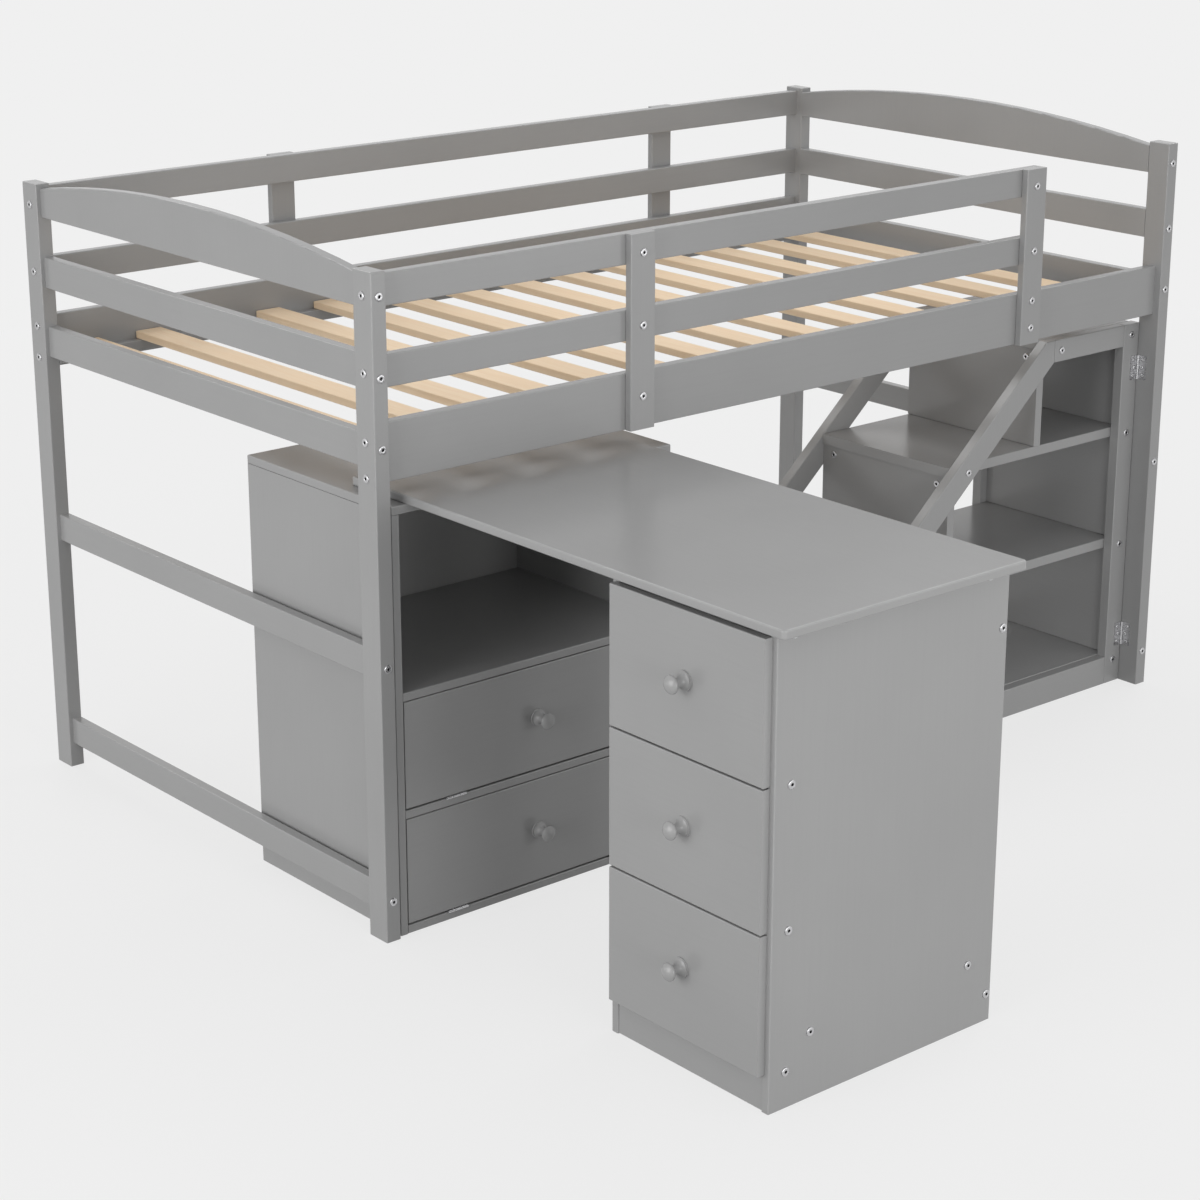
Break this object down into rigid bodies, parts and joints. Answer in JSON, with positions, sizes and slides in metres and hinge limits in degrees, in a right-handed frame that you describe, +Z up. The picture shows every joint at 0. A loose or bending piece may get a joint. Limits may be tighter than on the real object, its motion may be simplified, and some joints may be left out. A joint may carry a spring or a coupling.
{
  "type": "loft bed with desk",
  "caption": "Low loft bed with guard rails and a slatted base, over a cabinet with drop flaps, a pull-out desk with drawers and a storage stair that swings out.",
  "frame": {"origin": "on the floor, at the middle of the whole footprint with the desk pulled out", "axes": "+X along the bed towards the stair, +Y from the desk's front to the bed's back, +Z up"},
  "size_m": [1.999, 1.98, 1.1815],
  "materials": {
    "grey_paint": "satin grey paint",
    "pine": "planed pine",
    "steel": "zinc plated"
  },
  "bodies": {
    "bed_frame": {"post_front_left": "grey_paint", "post_front_right": "grey_paint", "post_back_left": "grey_paint", "post_back_right": "grey_paint", "end_crown_rails": "grey_paint", "end_middle_rails": "grey_paint", "end_low_rails": "grey_paint", "end_brace_rails": "grey_paint", "end_foot_rails": "grey_paint", "side_rails": "grey_paint", "front_guard_rails": "grey_paint", "back_guard_rails": "grey_paint", "guard_uprights": "grey_paint", "slat_ledgers": "grey_paint", "slats": "pine", "bed_bolts": "steel", "stair_hinge_post_leaves": "steel", "cabinet_sides": "grey_paint", "cabinet_top": "grey_paint", "cabinet_shelves": "grey_paint", "cabinet_back": "grey_paint", "flap_hinge_bases": "steel"},
    "desk": {"desktop": "grey_paint", "pedestal_sides": "grey_paint", "pedestal_back": "grey_paint", "pedestal_plinth": "grey_paint", "pedestal_floor": "grey_paint", "pedestal_cross_rails": "grey_paint", "pedestal_top_rails": "grey_paint", "drawer_runners": "grey_paint", "desk_bolts": "steel"},
    "stair": {"stair_stringers": "grey_paint", "stair_tall_stiles": "grey_paint", "stair_short_stiles": "grey_paint", "stair_top_rails": "grey_paint", "stair_bottom_rails": "grey_paint", "stair_base_board": "grey_paint", "stair_lower_tread": "grey_paint", "stair_middle_tread": "grey_paint", "stair_top_tread": "grey_paint", "stair_risers": "grey_paint", "stair_end_panels": "grey_paint", "stair_bolts": "steel", "stair_hinge_leaves": "steel"},
    "flap_upper_body": {"flap_upper": "grey_paint", "flap_upper_knob": "grey_paint", "flap_upper_hinge_leaves": "steel"},
    "flap_lower_body": {"flap_lower": "grey_paint", "flap_lower_knob": "grey_paint", "flap_lower_hinge_leaves": "steel"},
    "drawer_top": {"drawer_top_front": "grey_paint", "drawer_top_box": "grey_paint", "drawer_top_knob": "grey_paint"},
    "drawer_middle": {"drawer_middle_front": "grey_paint", "drawer_middle_box": "grey_paint", "drawer_middle_knob": "grey_paint"},
    "drawer_bottom": {"drawer_bottom_front": "grey_paint", "drawer_bottom_box": "grey_paint", "drawer_bottom_knob": "grey_paint"}
  },
  "joints": [
    {"name": "stair_swing", "type": "hinge", "parent": "bed_frame", "child": "stair", "pos_m": [0.9652, -0.06975, 0], "axis": [0, 0, 1], "range_deg": [0, 90]},
    {"name": "desk_slide", "type": "slide", "parent": "bed_frame", "child": "desk", "axis": [0, 1, 0], "range_m": [0, 0.27]},
    {"name": "flap_upper_drop", "type": "hinge", "parent": "bed_frame", "child": "flap_upper_body", "pos_m": [0, -0.10845, 0.2267], "axis": [1, 0, 0], "range_deg": [0, 90]},
    {"name": "flap_lower_drop", "type": "hinge", "parent": "bed_frame", "child": "flap_lower_body", "pos_m": [0, -0.10845, 0.0165], "axis": [1, 0, 0], "range_deg": [0, 78]},
    {"name": "drawer_top_slide", "type": "slide", "parent": "desk", "child": "drawer_top", "axis": [-1, 0, 0], "range_m": [0, 0.3]},
    {"name": "drawer_middle_slide", "type": "slide", "parent": "desk", "child": "drawer_middle", "axis": [-1, 0, 0], "range_m": [0, 0.3]},
    {"name": "drawer_bottom_slide", "type": "slide", "parent": "desk", "child": "drawer_bottom", "axis": [-1, 0, 0], "range_m": [0, 0.3]}
  ]
}
